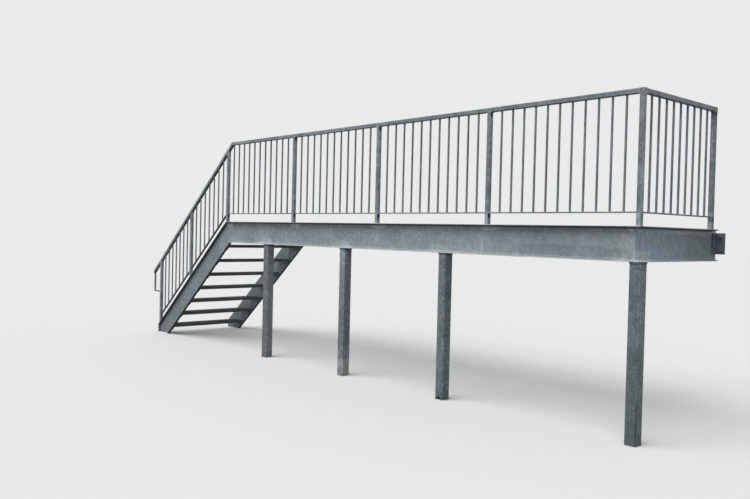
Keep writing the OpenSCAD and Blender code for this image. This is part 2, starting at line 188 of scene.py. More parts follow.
# Weld beads: radius, shape of the ripples, radii that differ by place, and stitches
BEAD = 0.0032
BEAD_STEP = 0.0019
BEAD_SIDES = 6
BEAD_RIPPLE = 0.17
BEAD_UNEVEN = 0.07
BEAD_TAPER = 0.55
BEAD_SUNK = 0.001
BEAD_CLEAR = 0.004
KNEE_BEAD = BEAD * 0.7
PICKET_BEAD = BEAD * 0.6
BAR_BEAD = BEAD * 0.8
SEAM_BEAD = BEAD * 1.3
FLANGE_BEAD = BEAD * 0.9
EDGE_BEAD = BEAD * 0.5
TOE_BEAD = BEAD * 1.4
PLATE_BEAD = BEAD * 1.2
CAP_STITCHES = (-0.72, 0.22)
CAP_STITCH = 0.5
TREAD_STITCH = (0.02, 0.09)

# Fasteners and plugs; what is turned has a profile of (radius, height)
BRACKET_PLATE = 0.010
CLIP_THICK = 0.008
ANCHOR_PROUD = 0.030
ANCHOR_SPACING = 0.110
THREAD_CREST = 0.0079
THREAD_ROOT = 0.0070
THREAD_PITCH = 0.002
NUT_RADIUS = 0.012 / math.cos(math.pi / 6)
NUT_TOP = 0.0158
NUT = (
    (NUT_RADIUS * 0.93, 0.0028), (NUT_RADIUS, 0.0040), (NUT_RADIUS, 0.0145),
    (NUT_RADIUS * 0.90, NUT_TOP), (0.0083, NUT_TOP),
)
WASHER = ((0.0085, 0.0), (0.015, 0.0), (0.015, 0.0022), (0.0145, 0.0028), (0.0085, 0.0028))
STUD = ((0.0052, -0.001), (0.0050, 0.0003), (0.0032, 0.0013))
SADDLE_HEAD = ((0.0065, 0.0), (0.0065, 0.0035), (0.0048, 0.0052))
SADDLE_INSET = 0.022
SADDLE_FROM_END = 2
PLUG = ((0.0105, 0.0), (0.0105, 0.0012), (0.0085, 0.0022), (0.0082, 0.0014), (0.0060, 0.0012))
PLUG_RISE = 0.025
PLUG_IN_FRONT = 0.038
PLUG_IN_END = 0.163


# Places, read from the frame

def middle(node, axis):
    """Middle of a node's box along an axis."""
    low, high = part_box(node)
    return (low[axis] + high[axis]) / 2


front_low, front_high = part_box("front_channel")
end_low, end_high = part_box("end_channel")
rail_low, rail_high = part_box("front_rail")
posts_low, posts_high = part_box("guard_posts")
stair_low, stair_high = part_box("stair_posts")
stringer_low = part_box("near_stringer")[0]
far_low, far_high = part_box("far_stringer")

rail_size = rail_high.z - rail_low.z
half_rail = rail_size / 2
y_guard = middle("front_rail", Y)
x_corner = middle("side_rail", X)
x_head = posts_low.x + half_rail
bay = (x_corner - x_head) / BAYS
y_wall_post = posts_high.y - half_rail
x_mid_post = stair_high.x - half_rail
x_foot_post = stair_low.x + half_rail

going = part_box("tread_1")[0].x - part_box("tread_2")[0].x
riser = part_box("tread_1")[1].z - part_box("tread_2")[1].z
slope = riser / going
x_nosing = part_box("tread_1")[0].x + going
frame_top = front_high.z
frame_bottom = front_low.z
x_kink = x_nosing + (frame_top - STRINGER_COVER) / slope
guard_x = [x_head + bay * k for k in range(BAYS + 1)]
support_x = [middle("support_post_%d" % (k + 1), X) for k in range(BAYS)]


def nosing_z(x):
    """Height of the line through the nosings."""
    return (x - x_nosing) * slope


def steel_top(x):
    """Height of the steel that the guard stands on."""
    return min(frame_top, nosing_z(x) + STRINGER_COVER)


def rail_under(x):
    """Height of the underside of the top rail."""
    stair = nosing_z(x) + STAIR_RAIL_HEIGHT - rail_size * math.hypot(1.0, slope)
    return min(rail_low.z, stair)


# Mesh building blocks

def make_piece(name, bm, material, smooth=False):
    """Turns a bmesh into a piece that rides on the frame."""
    mesh = bpy.data.meshes.new(name)
    bmesh.ops.recalc_face_normals(bm, faces=bm.faces)
    for face in bm.faces:
        face.smooth = smooth
    bm.to_mesh(mesh)
    bm.free()
    mesh.materials.append(material)
    piece = bpy.data.objects.new(name, mesh)
    scene.collection.objects.link(piece)
    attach(piece, BODY)
    return piece


def add_prism(bm, outline, shift):
    """Closed solid: an outline of points and the same outline moved by shift."""
    near = [bm.verts.new(point) for point in outline]
    far = [bm.verts.new(Vector(point) + Vector(shift)) for point in outline]
    bm.faces.new(near)
    bm.faces.new(list(reversed(far)))
    count = len(near)
    for k in range(count):
        after = (k + 1) % count
        bm.faces.new((near[after], near[k], far[k], far[after]))


def add_block(bm, low, high):
    """Closed block between two corners."""
    outline = [
        (low[0], low[1], low[2]),
        (high[0], low[1], low[2]),
        (high[0], high[1], low[2]),
        (low[0], high[1], low[2]),
    ]
    add_prism(bm, outline, (0.0, 0.0, high[2] - low[2]))


def add_rings(bm, rings, closed):
    """Skins a row of rings; an open row gets its two ends capped."""
    made = [[bm.verts.new(point) for point in ring] for ring in rings]
    sides = len(made[0])
    pairs = list(zip(made, made[1:]))
    if closed:
        pairs.append((made[-1], made[0]))
    else:
        bm.faces.new(list(reversed(made[0])))
        bm.faces.new(made[-1])
    for one, two in pairs:
        for k in range(sides):
            after = (k + 1) % sides
            bm.faces.new((one[k], one[after], two[after], two[k]))


def add_turned(bm, place, axis, profile, sides):
    """Turns a profile of (radius, height) about an axis."""
    turn = Vector(axis).to_track_quat("Z", "Y")
    rings = []
    for radius, height in profile:
        ring = []
        for k in range(sides):
            angle = math.tau * k / sides
            point = Vector((radius * math.cos(angle), radius * math.sin(angle), height))
            ring.append(Vector(place) + turn @ point)
        rings.append(ring)
    add_rings(bm, rings, closed=False)


# Welds

def add_bead(bm, points, closed=False, size=BEAD):
    """Rippled weld bead that follows straight runs between points."""
    count = len(points)
    samples = []
    for k in range(count if closed else count - 1):
        start = Vector(points[k])
        end = Vector(points[(k + 1) % count])
        steps = max(2, round((end - start).length / BEAD_STEP))
        samples += [start.lerp(end, step / steps) for step in range(steps)]
    if not closed:
        samples.append(Vector(points[-1]))
    total = len(samples)
    rings = []
    side = None
    for k, centre in enumerate(samples):
        before = samples[k - 1] if closed or k > 0 else centre
        after = samples[(k + 1) % total] if closed or k < total - 1 else centre
        along = (after - before).normalized()
        if side is None:
            side = along.orthogonal()
        side = (side - along * side.dot(along)).normalized()
        up = along.cross(side)
        swell = BEAD_RIPPLE if k % 2 else -BEAD_RIPPLE
        radius = size * (1.0 + swell + dice.uniform(-BEAD_UNEVEN, BEAD_UNEVEN))
        if not closed and k in (0, total - 1):
            radius *= BEAD_TAPER
        rings.append([
            centre + (side * math.cos(turn) + up * math.sin(turn)) * radius
            for turn in (math.tau / BEAD_SIDES * corner for corner in range(BEAD_SIDES))
        ])
    add_rings(bm, rings, closed)


def square_loop(x, y, half, height):
    """Points of a square round a post, at the heights that height(x) gives."""
    left, right = x - half, x + half
    points = [(left, y - half), (right, y - half), (right, y + half), (left, y + half)]
    return [(px, py, height(px)) for px, py in points]


def weld_guard_posts(bm):
    """Beads at the feet and heads of every guard post."""
    flat = [(x, y_guard) for x in guard_x[1:]] + [(x_corner, y_wall_post)]
    joints = [(x, y, steel_top) for x, y in flat]
    joints += [(x, y, rail_under) for x, y in flat[:-2] + flat[-1:]]
    for x in (x_mid_post, x_foot_post):
        joints += [(x, y_guard, steel_top), (x, y_guard, rail_under)]
    for x, y, height in joints:
        add_bead(bm, square_loop(x, y, half_rail, height), closed=True)
    foot = square_loop(x_head, y_guard, half_rail, steel_top)
    foot.insert(1, (x_kink, y_guard - half_rail, frame_top))
    foot.insert(4, (x_kink, y_guard + half_rail, frame_top))
    add_bead(bm, foot, closed=True)
    add_bead(bm, square_loop(x_head, y_guard, half_rail, rail_under), closed=True)


def weld_rails(bm):
    """Beads where the rails meet the corner post and each other."""
    low, high = rail_low.z, rail_high.z
    left, right = x_corner - half_rail, x_corner + half_rail
    near, far = y_guard - half_rail, y_guard + half_rail
    x_top = x_nosing + (high - STAIR_RAIL_HEIGHT) / slope
    x_low = x_top + rail_size * math.tan(math.atan(slope) / 2)
    front = [(left, near, high), (left, near, low), (left, far, low), (left, far, high)]
    side = [(left, far, high), (left, far, low), (right, far, low), (right, far, high)]
    knee = [(x_top, near, high), (x_low, near, low), (x_low, far, low), (x_top, far, high)]
    for points, size in ((front, BEAD), (side, BEAD), (knee, KNEE_BEAD)):
        add_bead(bm, points, closed=True, size=size)


def picket_places():
    """Panel, place and width of each picket, read from the panels' meshes but for the side."""
    places = [("side_infill", x_corner, y, PICKET) for y in side_places()]
    for name in sorted(nodes):
        if "_infill" not in name or name == "side_infill":
            continue
        tops = set()
        for vertex in nodes[name].data.vertices:
            point = vertex.co
            if abs(point.z - rail_under(point.x)) < TOUCHING:
                tops.add(round(point.x, 3))
        edges = sorted(tops)
        for left, right in zip(edges[0::2], edges[1::2]):
            places.append((name, (left + right) / 2, y_guard, right - left))
    return places


def side_places():
    """Places along Y of the side guard's pickets."""
    low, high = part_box("side_infill")
    gap = (high.y - low.y - SIDE_PICKETS * PICKET) / (SIDE_PICKETS + 1)
    return [low.y + (k + 1) * gap + (k + 0.5) * PICKET for k in range(SIDE_PICKETS)]


def make_side_infill(material):
    """The side guard's panel with the nine pickets that the photograph shows."""
    low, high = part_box("side_infill")
    bm = bmesh.new()
    add_block(bm, low, (high.x, high.y, low.z + BOTTOM_BAR))
    half = PICKET / 2
    for y in side_places():
        add_block(bm, (x_corner - half, y - half, low.z + BOTTOM_BAR), (x_corner + half, y + half, high.z))
    panel = make_piece("side_pickets", bm, material)
    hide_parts("side_infill")


def bar_top(name, x):
    """Height of the top of the flat bar that carries the pickets."""
    if name.startswith("stair"):
        return nosing_z(x) + STRINGER_COVER + STAIR_GAP + BOTTOM_BAR * math.hypot(1.0, slope)
    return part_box(name)[0].z + BOTTOM_BAR


def weld_pickets(bm):
    """Short beads on both sides of every picket, at the bar and at the rail."""
    for name, x, y, width in picket_places():
        half = width / 2
        for side in (-half, half):
            if name == "side_infill":
                ends = [(x + side, y - half), (x + side, y + half)]
            else:
                ends = [(x - half, y + side), (x + half, y + side)]
            for height in (lambda at: bar_top(name, at), rail_under):
                add_bead(bm, [(px, py, height(px)) for px, py in ends], size=PICKET_BEAD)


def weld_bottom_bars(bm):
    """Upright beads where the flat bars meet their posts."""
    for name in sorted(nodes):
        if "_infill" not in name:
            continue
        low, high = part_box(name)
        corners = [(x, y) for x in (low.x, high.x) for y in (low.y, high.y)]
        if name == "side_infill":
            corners.sort(key=lambda corner: corner[1])
        for x, y in corners:
            z = bar_top(name, x)
            add_bead(bm, [(x, y, z - BOTTOM_BAR), (x, y, z)], size=BAR_BEAD)


def weld_corner(bm):
    """Seams of the platform's mitred corner, down the webs and across the flanges."""
    web = (end_low.x, front_high.y)
    toe = (end_high.x, front_low.y)
    root_low, root_high = frame_bottom + FLANGE_ROOT, frame_top - FLANGE_ROOT
    toe_low, toe_high = frame_bottom + FLANGE_TOE, frame_top - FLANGE_TOE
    seams = (
        ((*web, root_low), (*web, root_high), SEAM_BEAD),
        ((*web, root_low), (*toe, toe_low), FLANGE_BEAD),
        ((*web, root_high), (*toe, toe_high), FLANGE_BEAD),
        ((*web, frame_bottom), (*toe, frame_bottom), EDGE_BEAD),
        ((*web, frame_top), (*toe, frame_top), EDGE_BEAD),
        ((*toe, frame_bottom), (*toe, toe_low), TOE_BEAD),
        ((*toe, toe_high), (*toe, frame_top), TOE_BEAD),
    )
    for start, end, size in seams:
        add_bead(bm, [start, end], size=size)


def weld_frame(bm):
    """Seams of the joint between the stringers and the platform's channels."""
    for y0, y1 in ((front_low.y, front_high.y), (far_low.y, far_high.y)):
        for x, z in ((x_kink, frame_top), (bottom_kink(), frame_bottom)):
            add_bead(bm, [(x, y0, z), (x, y1, z)], size=EDGE_BEAD)


def bottom_kink():
    """Where the stringers' lower edge meets the channels' lower edge."""
    depth = (frame_top - frame_bottom) * math.hypot(1.0, slope)
    return x_nosing + (frame_bottom - STRINGER_COVER + depth) / slope


def weld_supports(bm):
    """Beads round the support posts under their caps, and stitches along the caps."""
    y = middle("support_post_1", Y)
    half = POST_WIDTH / 2
    cap_half = half + CAP_PROUD
    for x in support_x:
        ring = square_loop(x, y, half - BEAD_SUNK, lambda at: frame_bottom - CAP_THICK)
        add_bead(bm, ring, closed=True)
        for side in (-1, 1):
            for start in CAP_STITCHES:
                ends = [start * cap_half, (start + CAP_STITCH) * cap_half]
                add_bead(bm, [(x + at, y + side * cap_half, frame_bottom) for at in ends])


def weld_treads(bm):
    """Upright beads at both edges of every tread's end plates, and stitches below them."""
    for k in range(1, TREADS + 1):
        low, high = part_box("tread_%d" % k)
        for y, inward in ((low.y, 1), (high.y, -1)):
            face = y + inward * END_PLATE
            for x in (low.x, high.x):
                bottom = low.z if x == low.x else high.z - GRATE_DEPTH
                add_bead(bm, [(x, face, bottom), (x, face, high.z - BEAD_CLEAR)])
            add_bead(bm, [(low.x + along, face, low.z) for along in TREAD_STITCH])


def weld_brackets(bm):
    """Beads up both sides of the wall brackets' webs."""
    low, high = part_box("wall_brackets")
    for x in guard_x[1:-1]:
        for side in (-1, 1):
            at = x + side * BRACKET_PLATE / 2
            for y in (high.y - BRACKET_PLATE, low.y + BRACKET_PLATE):
                ends = (low.z + BEAD_CLEAR, high.z - BEAD_CLEAR)
                add_bead(bm, [(at, y, z) for z in ends], size=PLATE_BEAD)


def weld_clip(bm):
    """Beads up both edges of the clip between the end channel and the wall."""
    low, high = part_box("end_clip")
    for side in (0, 1):
        x = low.x + side * CLIP_THICK
        add_bead(bm, [(x, low.y, low.z), (x, low.y, high.z)], size=PLATE_BEAD)


# Posts and the joint at the stair head

def rounded_square(x, y, z, half, radius, steps=5):
    """Points of a square with rounded corners."""
    points = []
    for k, (sx, sy) in enumerate(((1, 1), (-1, 1), (-1, -1), (1, -1))):
        for step in range(steps + 1):
            turn = math.pi / 2 * (k + step / steps)
            px = x + sx * (half - radius) + radius * math.cos(turn)
            py = y + sy * (half - radius) + radius * math.sin(turn)
            points.append((px, py, z))
    return points


def with_drain(ring, x, rise):
    """The ring with the arch of a drain hole in the middle of its front side."""
    front = len(ring) * 3 // 4
    _, y, z = ring[front]
    arch = []
    for step in range(DRAIN_STEPS + 1):
        turn = math.pi * (1 - step / DRAIN_STEPS)
        arch.append((x + DRAIN_WIDTH / 2 * math.cos(turn), y, z + rise * math.sin(turn)))
    return ring[:front] + arch + ring[front:]


def make_support_posts(material):
    """Square tubes with caps that hardly show past them; one has a drain hole in its foot."""
    outer = (POST_WIDTH / 2, POST_CORNER)
    inner = (POST_WIDTH / 2 - POST_WALL, POST_CORNER - POST_WALL)
    half = POST_WIDTH / 2 + CAP_PROUD
    for number, x in enumerate(support_x, start=1):
        name = "support_post_%d" % number
        low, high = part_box(name)
        y = middle(name, Y)
        top = high.z - CAP_THICK
        bm = bmesh.new()
        rings = [
            rounded_square(x, y, z, *shape)
            for z, shape in ((low.z, outer), (top, outer), (top, inner), (low.z, inner))
        ]
        if number == DRAINED_POST:
            rises = (DRAIN_RISE, 0.0, 0.0, DRAIN_RISE)
            rings = [with_drain(ring, x, rise) for ring, rise in zip(rings, rises)]
        add_rings(bm, rings, closed=True)
        add_block(bm, (x - half, y - half, top), (x + half, y + half, high.z))
        post = make_piece("square_post_%d" % number, bm, material)
        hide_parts(name)


def make_filler(material):
    """Tapered filler that brings the stringer's web smoothly into the platform's web."""
    lean = (bottom_kink() - x_kink) / (frame_bottom - frame_top)
    y_stringer = stringer_low.y + STRINGER_FLANGE - STRINGER_WEB
    y_platform = front_high.y - CHANNEL_WEB
    ends = []
    for z, lap in ((frame_bottom + FLANGE_ROOT, -FILLER_LAP), (frame_top - FLANGE_ROOT, FILLER_LAP)):
        x = x_kink + lean * (z - frame_top)
        ends.append([(x, y_stringer, z + lap), (x + FILLER_LENGTH, y_platform, z), (x, y_platform, z)])
    bm = bmesh.new()
    add_rings(bm, ends, closed=False)
    make_piece("stair_head_filler", bm, material)


# Fasteners

def add_anchor(bm, x, y, z):
    """Wall anchor on a plate whose face is at y: washer, nut and threaded end towards -Y."""
    thread = [(THREAD_CREST, 0.0)]
    height = NUT_TOP
    while height < ANCHOR_PROUD:
        thread += [(THREAD_CREST, height), (THREAD_ROOT, height + THREAD_PITCH / 2)]
        height += THREAD_PITCH
    thread += [(THREAD_ROOT, ANCHOR_PROUD), (0.0060, ANCHOR_PROUD + 0.0008)]
    for profile, sides in ((WASHER, 28), (NUT, 6), (thread, 20)):
        add_turned(bm, (x, y, z), (0.0, -1.0, 0.0), profile, sides)


def make_anchors(material):
    """Four anchors through each wall bracket, and two through the clip."""
    bm = bmesh.new()
    half = ANCHOR_SPACING / 2
    for x in guard_x[1:-1]:
        for dx in (-half, half):
            for dz in (-half, half):
                add_anchor(bm, x + dx, -BRACKET_PLATE, middle("wall_brackets", Z) + dz)
    x = middle("end_clip", X) + CLIP_THICK / 2
    for dz in (-half, half):
        add_anchor(bm, x, -CLIP_THICK, middle("end_clip", Z) + dz)
    make_piece("wall_anchors", bm, material)


# Gratings

def bar_steps(low, high):
    """Number of gaps between the bearing bars in a box, and the step from bar to bar."""
    gaps = max(1, round((high.x - low.x - BAR_THICK) / BAR_PITCH))
    return gaps, (high.x - low.x - BAR_THICK) / gaps


def add_toothed_bar(bm, x, y0, y1, bottom, top):
    """Bearing bar along Y with an anti-slip row of teeth on its upper edge."""
    teeth = max(1, round((y1 - y0) / TOOTH_PITCH))
    pitch = (y1 - y0) / teeth
    outline = [(x, y0, bottom), (x, y1, bottom)]
    for k in range(teeth):
        start = y1 - k * pitch
        outline.append((x, start, top))
        outline.append((x, start - pitch * TOOTH_FLAT, top))
        outline.append((x, start - pitch * TOOTH_VALLEY, top - TOOTH_DEPTH))
    outline.append((x, y0, top))
    add_prism(bm, outline, (BAR_THICK, 0.0, 0.0))


def add_twisted_rod(bm, x0, x1, y, z):
    """Square rod along X, twisted as it is forged into the bars."""
    steps = max(4, round((x1 - x0) / ROD_TWIST * ROD_STEPS))
    half = ROD_WIDTH / math.sqrt(2)
    rings = []
    for k in range(steps + 1):
        x = x0 + (x1 - x0) * k / steps
        turn = math.tau * (x - x0) / ROD_TWIST
        rings.append([
            (x, y + half * math.cos(turn + corner), z + half * math.sin(turn + corner))
            for corner in (math.pi / 2 * side for side in range(4))
        ])
    add_rings(bm, rings, closed=False)


def fill_grating(bm, low, high):
    """Bars, rods and end bands of one grating, inside the box from low to high."""
    gaps, step = bar_steps(low, high)
    for k in range(gaps + 1):
        add_toothed_bar(bm, low.x + k * step, low.y + BAND_THICK, high.y - BAND_THICK, low.z, high.z)
    rods = max(1, round((high.y - low.y) / ROD_PITCH))
    pitch = (high.y - low.y) / rods
    for k in range(rods):
        y = low.y + (k + 0.5) * pitch
        add_twisted_rod(bm, low.x + ROD_INSET, high.x - ROD_INSET, y, high.z - ROD_WIDTH)
    for y in (low.y, high.y - BAND_THICK):
        add_block(bm, (low.x, y, low.z), (high.x, y + BAND_THICK, high.z))


def make_deck(material):
    """Four deck gratings in place of the coarser solids."""
    for k in range(BAYS):
        name = "deck_panel_%d" % (k + 1)
        bm = bmesh.new()
        fill_grating(bm, *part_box(name))
        panel = make_piece("deck_grating_%d" % (k + 1), bm, material)
        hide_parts(name)


def make_treads(material):
    """Seven treads: grating between end plates, with a studded nosing."""
    for k in range(1, TREADS + 1):
        name = "tread_%d" % k
        bm = bmesh.new()
        low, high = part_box(name)
        y0, y1 = low.y + END_PLATE, high.y - END_PLATE
        under = high.z - GRATE_DEPTH
        plate = high.z - NOSING_THICK
        fill_grating(bm, Vector((low.x + NOSING_WIDTH, y0, under)), Vector((high.x, y1, high.z)))
        add_block(bm, (low.x, y0, plate), (low.x + NOSING_WIDTH, y1, high.z))
        add_block(bm, (low.x, y0, under), (low.x + NOSING_THICK, y1, plate))
        cut = (under - low.z) / slope
        for y in (low.y, y1):
            outline = [
                (low.x, y, high.z), (high.x, y, high.z), (high.x, y, under),
                (high.x - cut, y, low.z), (low.x, y, low.z),
            ]
            add_prism(bm, outline, (0.0, END_PLATE, 0.0))
        studs = int((high.y - low.y - STUD_MARGIN) / STUD_PITCH)
        start = (low.y + high.y - (studs - 1) * STUD_PITCH) / 2
        for j in range(studs):
            place = (low.x + STUD_ROWS[j % 2], start + j * STUD_PITCH, high.z)
            add_turned(bm, place, (0, 0, 1), STUD, 8)
        tread = make_piece("grating_" + name, bm, material)
        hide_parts(name)


def make_saddle_clips(material):
    """Clips that hold the deck gratings down over their seats."""
    bm = bmesh.new()
    for k in range(BAYS):
        low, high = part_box("deck_panel_%d" % (k + 1))
        gaps, step = bar_steps(low, high)
        for place in (SADDLE_FROM_END, gaps // 2, gaps - 1 - SADDLE_FROM_END):
            x = low.x + (place + 0.5) * step + BAR_THICK / 2
            for y in (low.y + SADDLE_INSET, high.y - SADDLE_INSET):
                add_saddle_clip(bm, x, y, high.z, step)
    make_piece("saddle_clips", bm, material)


def add_saddle_clip(bm, x, y, top, step):
    """Bent strap over two bearing bars, with its bolt between them."""
    outer = step / 2 + BAR_THICK * 1.4
    inner = step / 2 - BAR_THICK * 0.9
    thick, dip, half, lift = 0.002, 0.010, 0.011, 0.0002
    upper = [
        (-outer, thick), (-inner, thick), (-inner * 0.7, -dip),
        (inner * 0.7, -dip), (inner, thick), (outer, thick),
    ]
    lower = [
        (outer, lift), (inner * 1.1, lift), (inner * 0.75, -dip - thick),
        (-inner * 0.75, -dip - thick), (-inner * 1.1, lift), (-outer, lift),
    ]
    outline = [(x + px, y - half, top + pz) for px, pz in upper + lower]
    add_prism(bm, outline, (0.0, 2 * half, 0.0))
    add_turned(bm, (x, y, top - dip), (0, 0, 1), SADDLE_HEAD, 6)


# Shader building blocks

def new_material(name):
    """An empty node material with its shader and output joined up."""
    material = bpy.data.materials.new(name)
    material.use_nodes = True
    tree = material.node_tree
    tree.nodes.clear()
    shader = add_node(tree, "BsdfPrincipled", {})
    add_node(tree, "OutputMaterial", {"Surface": shader.outputs["BSDF"]})
    return material, tree, shader


def feed(tree, node, inputs):
    """Links outputs to a node's inputs, or sets the inputs to plain values."""
    for name, value in inputs.items():
        if isinstance(value, bpy.types.NodeSocket):
            tree.links.new(value, node.inputs[name])
        else:
            node.inputs[name].default_value = value


def add_node(tree, kind, inputs, **settings):
    """A new shader node with its settings and inputs."""
    node = tree.nodes.new("ShaderNode" + kind)
    for name, value in settings.items():
        setattr(node, name, value)
    feed(tree, node, inputs)
    return node


def math_node(tree, operation, *values):
    """A Math node; its values are outputs or plain numbers."""
    return add_node(tree, "Math", dict(enumerate(values)), operation=operation).outputs[0]


def spread(tree, value, low, high, out_low=0.0, out_high=1.0):
    """Maps low..high to out_low..out_high with soft ends."""
    inputs = {"Value": value, "From Min": low, "From Max": high, "To Min": out_low, "To Max": out_high}
    return add_node(tree, "MapRange", inputs, interpolation_type="SMOOTHSTEP").outputs["Result"]


def noise(tree, vector, scale, detail=3.0, roughness=0.55, distortion=0.0):
    """Noise that varies about 0.5."""
    return add_node(tree, "TexNoise", {
        "Vector": vector, "Scale": scale, "Detail": detail, "Roughness": roughness, "Distortion": distortion,
    }).outputs[0]


def stretched(tree, vector, scale):
    """The vector with its axes scaled, for runs and streaks."""
    return add_node(tree, "Mapping", {"Vector": vector, "Scale": scale}).outputs["Vector"]


def mix_colour(tree, factor, a, b):
    """Mixes two colours; they are outputs or RGBA tuples."""
    return add_node(tree, "Mix", {0: factor, 6: a, 7: b}, data_type="RGBA").outputs[2]


def scaled_colour(tree, colour, factor):
    """A colour multiplied by a grey value."""
    return add_node(tree, "VectorMath", {0: colour, "Scale": factor}, operation="SCALE").outputs[0]


def axes_of(tree, vector):
    """X, Y and Z of a vector."""
    return add_node(tree, "SeparateXYZ", {"Vector": vector}).outputs


def true_normal(tree):
    """The direction in which the face looks, without bevel or bump."""
    return add_node(tree, "NewGeometry", {}).outputs["True Normal"]


def edge_mask(tree, radius):
    """1 along the edges of the steel, 0 on its flats; and the normal with rounded edges."""
    rounded = add_node(tree, "Bevel", {"Radius": radius}, samples=4).outputs["Normal"]
    dot = add_node(tree, "VectorMath", {0: rounded, 1: true_normal(tree)}, operation="DOT_PRODUCT")
    return spread(tree, dot.outputs["Value"], 0.999, 0.90), rounded


def facing(tree, axis, start, full):
    """1 on faces whose normal's part along an axis has passed from start to full."""
    return spread(tree, axes_of(tree, true_normal(tree))[axis], start, full)


def gap_to(tree, value, places):
    """Distance from the value to the nearest of the places."""
    nearest = None
    for place in places:
        gap = math_node(tree, "ABSOLUTE", math_node(tree, "SUBTRACT", value, place))
        nearest = gap if nearest is None else math_node(tree, "MINIMUM", nearest, gap)
    return nearest


def ragged(tree, coordinates, mask, grain):
    """The mask with its soft edges broken up by noise."""
    broken = math_node(tree, "MULTIPLY_ADD", noise(tree, coordinates, grain, 4.0, 0.65), 1.1, -0.55)
    rough_edge = math_node(tree, "ADD", mask, broken)
    return math_node(tree, "MULTIPLY", spread(tree, rough_edge, 0.30, 0.62), spread(tree, mask, 0.0, 0.25))


def cells_of(tree, coordinates, pitch):
    """Cells a pitch wide: the distance from their middles, and three random numbers for each."""
    cells = add_node(tree, "TexVoronoi", {"Vector": coordinates, "Scale": 1.0 / pitch})
    numbers = add_node(tree, "SeparateColor", {"Color": cells.outputs["Color"]})
    return cells.outputs["Distance"], numbers.outputs


def flecks(tree, coordinates, pitch, size, share):
    """1 on small scattered spots: one in a part of the cells that are a pitch wide."""
    distance, numbers = cells_of(tree, coordinates, pitch)
    waver = noise(tree, coordinates, 4.0 / pitch, 2.0, 0.6)
    uneven = math_node(tree, "MULTIPLY_ADD", waver, size * 1.6, distance)
    near = spread(tree, uneven, size * 1.8, size * 1.2)
    some = spread(tree, numbers[2], 1.0 - share, 1.0 - share * 0.8)
    return math_node(tree, "MULTIPLY", near, some)


def feathers(tree, coordinates):
    """Faint pale strokes, mostly upright, gathered in patches as molten zinc leaves them."""
    strokes = noise(tree, stretched(tree, coordinates, FEATHER_SCALE), 1.0, 3.0, 0.6, 1.4)
    patches = spread(tree, noise(tree, coordinates, 4.2, 3.0, 0.5), 0.44, 0.60)
    return math_node(tree, "MULTIPLY", spread(tree, strokes, 0.49, 0.60), patches)


def between(axis, low, high, soft):
    """Two parts of a zone: from low to high on an axis, with soft edges."""
    return (axis, low - soft, low + soft), (axis, high + soft, high - soft)


class Steel:
    """The colour of a finish, which stains and painted light and shade change step by step."""

    def __init__(self, tree, coordinates, colour):
        self.tree = tree
        self.coordinates = coordinates
        self.axes = axes_of(tree, coordinates)
        self.colour = colour

    def zone(self, *parts):
        """1 where all parts hold. A part is a mask, or an axis with a start and a full strength."""
        mask = None
        for part in parts:
            if isinstance(part, tuple):
                axis, start, full = part
                part = spread(self.tree, self.axes[axis], start, full)
            mask = part if mask is None else math_node(self.tree, "MULTIPLY", mask, part)
        return mask

    def near(self, places, reach):
        """1 close to one of the places along X, fading to 0 at reach."""
        return spread(self.tree, gap_to(self.tree, self.axes[X], places), reach, reach * 0.45)

    def patches(self, places, level, width, depth):
        """1 in the middle of an oval patch round each place along X at a level, 0 at its rim."""
        run = math_node(self.tree, "DIVIDE", gap_to(self.tree, self.axes[X], places), width)
        rise = math_node(self.tree, "DIVIDE", math_node(self.tree, "SUBTRACT", self.axes[Z], level), depth)
        squares = [math_node(self.tree, "MULTIPLY", part, part) for part in (run, rise)]
        return spread(self.tree, math_node(self.tree, "ADD", *squares), 1.15, 0.0)

    def either(self, one, two):
        """1 where one of two masks holds."""
        return math_node(self.tree, "MAXIMUM", one, two)

    def outside(self, mask):
        """1 where the mask is 0."""
        return math_node(self.tree, "SUBTRACT", 1.0, mask)

    def stain_light_or_shade(self, label, share, zinc, *parts, grain=None):
        """Mixes in a share of another zinc, or of painted light or shade, on a zone, whose edge a grain
        breaks up.
        """
        mask = self.zone(*parts)
        if grain:
            mask = ragged(self.tree, self.coordinates, mask, grain)
        factor = math_node(self.tree, "MULTIPLY", mask, share)
        self.colour = mix_colour(self.tree, factor, self.colour, zinc)
        self.colour.node.label = label


